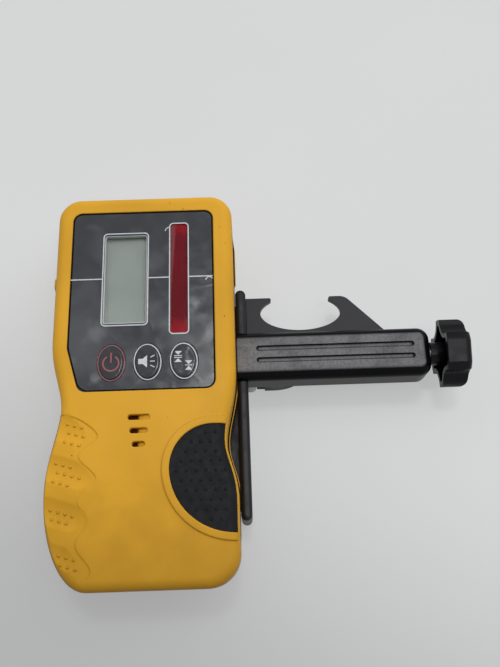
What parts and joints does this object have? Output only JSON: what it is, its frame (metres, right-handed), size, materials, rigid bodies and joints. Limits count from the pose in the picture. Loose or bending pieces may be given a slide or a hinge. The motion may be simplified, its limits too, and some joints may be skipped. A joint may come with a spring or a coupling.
{
  "type": "laser receiver with staff clamp",
  "caption": "Hand-held laser receiver with display, sensor window, keys and thumb grip, on a screw clamp for a levelling staff.",
  "frame": {"origin": "under the middle of the bounding box, on the surface that the part lies on", "axes": "+X along the clamp beam to its knob, +Y up the receiver's face to its top edge, +Z out of the face"},
  "size_m": [0.1772, 0.165, 0.0455],
  "materials": {
    "housing_plastic": "fine satin moulding, warm yellow",
    "grip_rubber": "black moulded rubber with raised dots",
    "seal_rubber": "black rubber, matt",
    "panel_film": "dark grey printed film, slightly wrinkled",
    "key_film": "dark grey domed keys with printed rings",
    "display_glass": "grey-green liquid crystal, unlit",
    "clear_lens": "clear, glossy",
    "red_window": "deep red filter, glossy",
    "board": "green solder mask",
    "component": "black moulded components",
    "cell_wrap": "plain wrapped dry cells",
    "contact_metal": "nickel-plated strip",
    "steel": "bright zinc plate",
    "brass": "turned brass",
    "clamp_plastic": "black moulding, worn satin on top",
    "pad_rubber": "dark soft rubber",
    "bumper_clear": "clear soft polyurethane"
  },
  "bodies": {
    "receiver_and_clamp": {"front_shell": "housing_plastic", "rear_shell": "housing_plastic", "thumb_grip": "grip_rubber", "housing_seal": "seal_rubber", "panel_overlay": "panel_film", "lcd_module": "display_glass", "display_lens": "clear_lens", "sensor_window": "red_window", "main_board": "board", "photodiode_strip": "component", "tact_switches": "component", "buzzer": "component", "battery_cells": "cell_wrap", "battery_contacts": "contact_metal", "case_screws": "steel", "mount_washer": "steel", "clamp_insert": "brass", "clamp_beam": "clamp_plastic", "side_bracket": "clamp_plastic", "reading_plate": "clamp_plastic", "fixed_jaw_bumpers": "bumper_clear"},
    "power_key": {"power_button": "key_film"},
    "sound_key": {"sound_button": "key_film"},
    "precision_key": {"precision_button": "key_film"},
    "door": {"battery_door": "housing_plastic"},
    "jaw": {"moving_jaw": "clamp_plastic", "jaw_nut": "steel", "moving_jaw_pad": "pad_rubber"},
    "knob": {"clamp_knob": "clamp_plastic", "lead_screw": "steel", "retaining_clip": "steel"},
    "thumb_screw": {"mount_screw": "clamp_plastic"}
  },
  "joints": [
    {"name": "power_press", "type": "slide", "parent": "receiver_and_clamp", "child": "power_key", "axis": [0, 0, -1], "range_m": [0, 0.0005], "stiffness_N_per_m": 2500, "springref_m": -0.0002},
    {"name": "sound_press", "type": "slide", "parent": "receiver_and_clamp", "child": "sound_key", "axis": [0, 0, -1], "range_m": [0, 0.0005], "stiffness_N_per_m": 2500, "springref_m": -0.0002},
    {"name": "precision_press", "type": "slide", "parent": "receiver_and_clamp", "child": "precision_key", "axis": [0, 0, -1], "range_m": [0, 0.0005], "stiffness_N_per_m": 2500, "springref_m": -0.0002},
    {"name": "door_slide", "type": "slide", "parent": "receiver_and_clamp", "child": "door", "axis": [0, -1, 0], "range_m": [0, 0.055]},
    {"name": "knob_turn", "type": "hinge", "parent": "receiver_and_clamp", "child": "knob", "pos_m": [0, 0.012, 0.022], "axis": [1, 0, 0], "range_deg": [0, 6000]},
    {"name": "jaw_slide", "type": "slide", "parent": "receiver_and_clamp", "child": "jaw", "axis": [1, 0, 0], "range_m": [0, 0.05]},
    {"name": "thumb_screw_turn", "type": "hinge", "parent": "receiver_and_clamp", "child": "thumb_screw", "pos_m": [-0.05005, -0.00626, 0], "axis": [0, 0, 1], "continuous": true}
  ],
  "couplings": [
    {"joint": "knob_turn", "follows": "jaw_slide", "rad_per_m": 2094.4}
  ]
}
